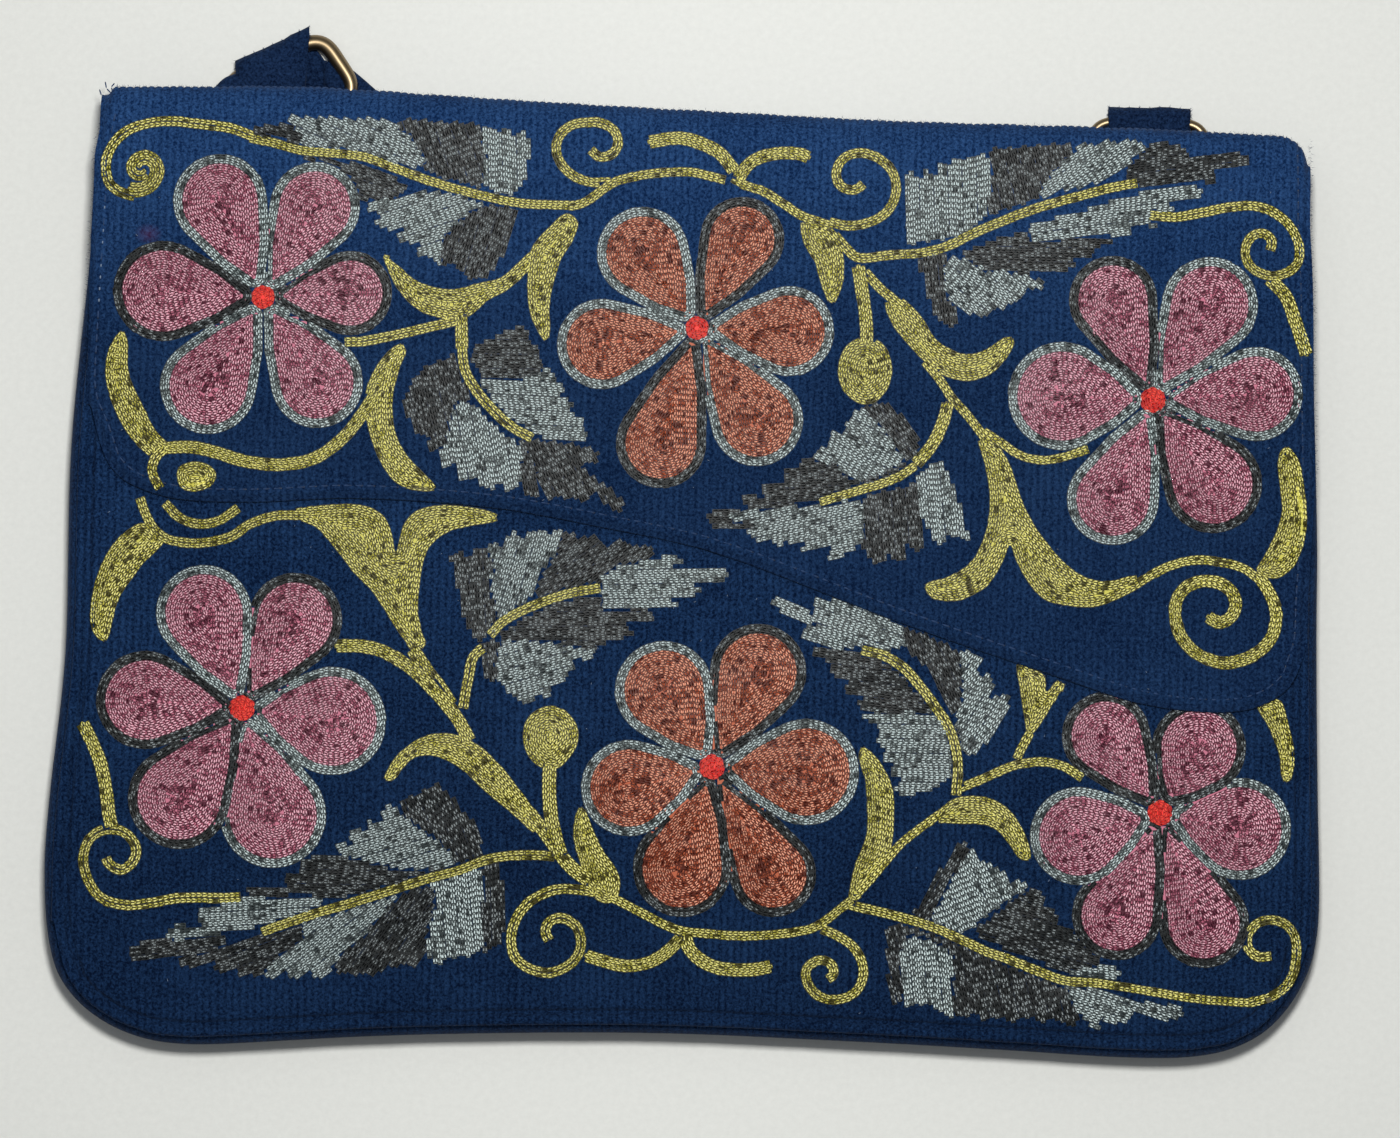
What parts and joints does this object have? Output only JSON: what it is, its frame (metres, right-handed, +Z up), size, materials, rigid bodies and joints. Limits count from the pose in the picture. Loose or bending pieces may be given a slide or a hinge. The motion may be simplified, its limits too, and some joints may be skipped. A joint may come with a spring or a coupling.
{
  "type": "corduroy flap shoulder bag",
  "caption": "Flat cloth shoulder bag lying on its back: two panels, a bulging gusset, a slanting front flap and a cloth strap on two bent wire rings.",
  "frame": {"origin": "middle of the bag's box, on the surface that it lies on", "axes": "+X across the bag, +Y from its bottom to its top fold, +Z up through its depth"},
  "size_m": [0.319, 0.256, 0.0264],
  "materials": {
    "corduroy": "matte",
    "strap_corduroy": "matte",
    "aged_brass": "satin",
    "thread": "satin"
  },
  "bodies": {
    "root": {"back_panel": "corduroy", "front_panel": "corduroy", "gusset": "corduroy", "flap": "corduroy", "strap": "strap_corduroy", "tab_left": "strap_corduroy", "tab_right": "strap_corduroy", "ring_left": "aged_brass", "ring_right": "aged_brass"}
  },
  "joints": []
}
